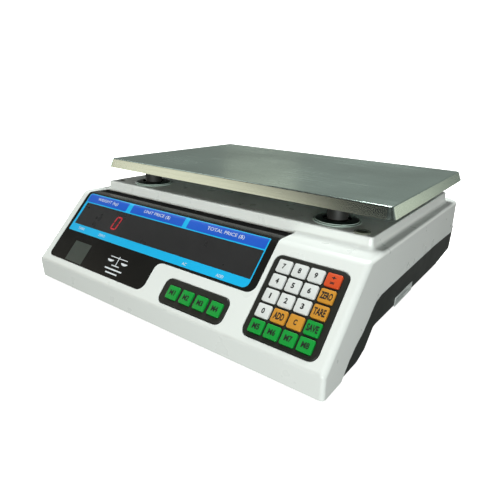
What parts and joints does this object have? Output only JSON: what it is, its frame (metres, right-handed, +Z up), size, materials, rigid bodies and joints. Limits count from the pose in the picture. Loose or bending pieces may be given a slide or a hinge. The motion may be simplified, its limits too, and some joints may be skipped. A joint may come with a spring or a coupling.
{
  "type": "price-computing counter scale",
  "caption": "Counter-top price-computing scale: steel platter on a white and black housing, with a sloped console of digit windows and push keys.",
  "frame": {"origin": "under the middle of the housing, on the surface that the four feet stand on", "axes": "+X to the user's right, -Y towards the user and the console, +Z up"},
  "size_m": [0.35, 0.352, 0.1225],
  "materials": {
    "housing_white": "fine moulded satin",
    "base_black": "moulded, slightly textured",
    "lens_dark": "polished smoked lens",
    "display_black": "black digit module",
    "keypad_black": "satin",
    "key_white": "satin key cap",
    "key_green": "satin key cap",
    "key_amber": "satin key cap",
    "key_red": "satin key cap",
    "platter_steel": "fine brushed stainless sheet",
    "frame_aluminium": "cast and machined",
    "plain_steel": "plated",
    "rubber_black": "moulded",
    "rocker_black": "glossy rocker",
    "circuit_board": "solder mask",
    "battery_case": "moulded",
    "transformer_core": "varnished laminations",
    "level_vial": "clear vial in a moulded bezel",
    "label_silver": "silver film label"
  },
  "bodies": {
    "root": {"top_housing": "housing_white", "bottom_housing": "base_black", "display_lens": "lens_dark", "led_weight": "display_black", "led_unit_price": "display_black", "led_total_price": "display_black", "display_board": "circuit_board", "main_board": "circuit_board", "keypad_board": "circuit_board", "rear_display_board": "circuit_board", "rear_display_lens": "lens_dark", "keypad_bezel": "keypad_black", "memory_bezel": "keypad_black", "load_cell": "frame_aluminium", "load_cell_mount": "plain_steel", "battery": "battery_case", "transformer": "transformer_core", "power_inlet": "base_black", "switch_body": "base_black", "bubble_level": "level_vial", "rating_label": "label_silver", "deck_screw_front_left": "plain_steel", "deck_screw_rear_left": "plain_steel", "deck_screw_rear_right": "plain_steel"},
    "platter": {"platter": "platter_steel"},
    "weigh_platform": {"platter_frame": "frame_aluminium", "platter_support_front_left": "rubber_black", "platter_support_rear_left": "rubber_black", "platter_support_front_right": "rubber_black", "platter_support_rear_right": "rubber_black"},
    "power_rocker": {"switch_rocker": "rocker_black"},
    "battery_door": {"battery_cover": "base_black"},
    "levelling_foot_front_left": {"foot_front_left": "rubber_black"},
    "levelling_foot_rear_left": {"foot_rear_left": "rubber_black"},
    "levelling_foot_front_right": {"foot_front_right": "rubber_black"},
    "levelling_foot_rear_right": {"foot_rear_right": "rubber_black"},
    "button_digit_0": {"key_digit_0": "key_white"},
    "button_digit_1": {"key_digit_1": "key_white"},
    "button_digit_2": {"key_digit_2": "key_white"},
    "button_digit_3": {"key_digit_3": "key_white"},
    "button_digit_4": {"key_digit_4": "key_white"},
    "button_digit_5": {"key_digit_5": "key_white"},
    "button_digit_6": {"key_digit_6": "key_white"},
    "button_digit_7": {"key_digit_7": "key_white"},
    "button_digit_8": {"key_digit_8": "key_white"},
    "button_digit_9": {"key_digit_9": "key_white"},
    "button_add": {"key_add": "key_amber"},
    "button_clear": {"key_clear": "key_amber"},
    "button_save": {"key_save": "key_green"},
    "button_tare": {"key_tare": "key_amber"},
    "button_zero": {"key_zero": "key_amber"},
    "button_accumulate": {"key_accumulate": "key_red"},
    "button_memory_1": {"key_memory_1": "key_green"},
    "button_memory_2": {"key_memory_2": "key_green"},
    "button_memory_3": {"key_memory_3": "key_green"},
    "button_memory_4": {"key_memory_4": "key_green"},
    "button_memory_5": {"key_memory_5": "key_green"},
    "button_memory_6": {"key_memory_6": "key_green"},
    "button_memory_7": {"key_memory_7": "key_green"},
    "button_memory_8": {"key_memory_8": "key_green"}
  },
  "joints": [
    {"name": "platform_deflection", "type": "slide", "parent": "root", "child": "weigh_platform", "axis": [0, 0, 1], "range_m": [-0.001, 0], "stiffness_N_per_m": 150000, "springref_m": 0.00008},
    {"name": "platter_lift", "type": "slide", "parent": "weigh_platform", "child": "platter", "axis": [0, 0, 1], "range_m": [0, 0.08]},
    {"name": "power_switch", "type": "hinge", "parent": "root", "child": "power_rocker", "pos_m": [-0.1679, 0.06, 0.035], "axis": [0, 0, 1], "range_deg": [-20, 0]},
    {"name": "battery_door_slide", "type": "slide", "parent": "root", "child": "battery_door", "axis": [0, 0.9998, -0.018], "range_m": [0, 0.012]},
    {"name": "foot_height_front_left", "type": "slide", "parent": "root", "child": "levelling_foot_front_left", "axis": [0, 0, 1], "range_m": [-0.006, 0.004]},
    {"name": "foot_height_rear_left", "type": "slide", "parent": "root", "child": "levelling_foot_rear_left", "axis": [0, 0, 1], "range_m": [-0.006, 0.004]},
    {"name": "foot_height_front_right", "type": "slide", "parent": "root", "child": "levelling_foot_front_right", "axis": [0, 0, 1], "range_m": [-0.006, 0.004]},
    {"name": "foot_height_rear_right", "type": "slide", "parent": "root", "child": "levelling_foot_rear_right", "axis": [0, 0, 1], "range_m": [-0.006, 0.004]},
    {"name": "press_digit_0", "type": "slide", "parent": "root", "child": "button_digit_0", "axis": [0, 0.7214, -0.6925], "range_m": [0, 0.001], "stiffness_N_per_m": 250},
    {"name": "press_digit_1", "type": "slide", "parent": "root", "child": "button_digit_1", "axis": [0, 0.7214, -0.6925], "range_m": [0, 0.001], "stiffness_N_per_m": 250},
    {"name": "press_digit_2", "type": "slide", "parent": "root", "child": "button_digit_2", "axis": [0, 0.7214, -0.6925], "range_m": [0, 0.001], "stiffness_N_per_m": 250},
    {"name": "press_digit_3", "type": "slide", "parent": "root", "child": "button_digit_3", "axis": [0, 0.7214, -0.6925], "range_m": [0, 0.001], "stiffness_N_per_m": 250},
    {"name": "press_digit_4", "type": "slide", "parent": "root", "child": "button_digit_4", "axis": [0, 0.7214, -0.6925], "range_m": [0, 0.001], "stiffness_N_per_m": 250},
    {"name": "press_digit_5", "type": "slide", "parent": "root", "child": "button_digit_5", "axis": [0, 0.7214, -0.6925], "range_m": [0, 0.001], "stiffness_N_per_m": 250},
    {"name": "press_digit_6", "type": "slide", "parent": "root", "child": "button_digit_6", "axis": [0, 0.7214, -0.6925], "range_m": [0, 0.001], "stiffness_N_per_m": 250},
    {"name": "press_digit_7", "type": "slide", "parent": "root", "child": "button_digit_7", "axis": [0, 0.7214, -0.6925], "range_m": [0, 0.001], "stiffness_N_per_m": 250},
    {"name": "press_digit_8", "type": "slide", "parent": "root", "child": "button_digit_8", "axis": [0, 0.7214, -0.6925], "range_m": [0, 0.001], "stiffness_N_per_m": 250},
    {"name": "press_digit_9", "type": "slide", "parent": "root", "child": "button_digit_9", "axis": [0, 0.7214, -0.6925], "range_m": [0, 0.001], "stiffness_N_per_m": 250},
    {"name": "press_add", "type": "slide", "parent": "root", "child": "button_add", "axis": [0, 0.7214, -0.6925], "range_m": [0, 0.001], "stiffness_N_per_m": 250},
    {"name": "press_clear", "type": "slide", "parent": "root", "child": "button_clear", "axis": [0, 0.7214, -0.6925], "range_m": [0, 0.001], "stiffness_N_per_m": 250},
    {"name": "press_save", "type": "slide", "parent": "root", "child": "button_save", "axis": [0, 0.7214, -0.6925], "range_m": [0, 0.001], "stiffness_N_per_m": 250},
    {"name": "press_tare", "type": "slide", "parent": "root", "child": "button_tare", "axis": [0, 0.7214, -0.6925], "range_m": [0, 0.001], "stiffness_N_per_m": 250},
    {"name": "press_zero", "type": "slide", "parent": "root", "child": "button_zero", "axis": [0, 0.7214, -0.6925], "range_m": [0, 0.001], "stiffness_N_per_m": 250},
    {"name": "press_accumulate", "type": "slide", "parent": "root", "child": "button_accumulate", "axis": [0, 0.7214, -0.6925], "range_m": [0, 0.001], "stiffness_N_per_m": 250},
    {"name": "press_memory_1", "type": "slide", "parent": "root", "child": "button_memory_1", "axis": [0, 0.7214, -0.6925], "range_m": [0, 0.001], "stiffness_N_per_m": 250},
    {"name": "press_memory_2", "type": "slide", "parent": "root", "child": "button_memory_2", "axis": [0, 0.7214, -0.6925], "range_m": [0, 0.001], "stiffness_N_per_m": 250},
    {"name": "press_memory_3", "type": "slide", "parent": "root", "child": "button_memory_3", "axis": [0, 0.7214, -0.6925], "range_m": [0, 0.001], "stiffness_N_per_m": 250},
    {"name": "press_memory_4", "type": "slide", "parent": "root", "child": "button_memory_4", "axis": [0, 0.7214, -0.6925], "range_m": [0, 0.001], "stiffness_N_per_m": 250},
    {"name": "press_memory_5", "type": "slide", "parent": "root", "child": "button_memory_5", "axis": [0, 0.7214, -0.6925], "range_m": [0, 0.001], "stiffness_N_per_m": 250},
    {"name": "press_memory_6", "type": "slide", "parent": "root", "child": "button_memory_6", "axis": [0, 0.7214, -0.6925], "range_m": [0, 0.001], "stiffness_N_per_m": 250},
    {"name": "press_memory_7", "type": "slide", "parent": "root", "child": "button_memory_7", "axis": [0, 0.7214, -0.6925], "range_m": [0, 0.001], "stiffness_N_per_m": 250},
    {"name": "press_memory_8", "type": "slide", "parent": "root", "child": "button_memory_8", "axis": [0, 0.7214, -0.6925], "range_m": [0, 0.001], "stiffness_N_per_m": 250}
  ]
}
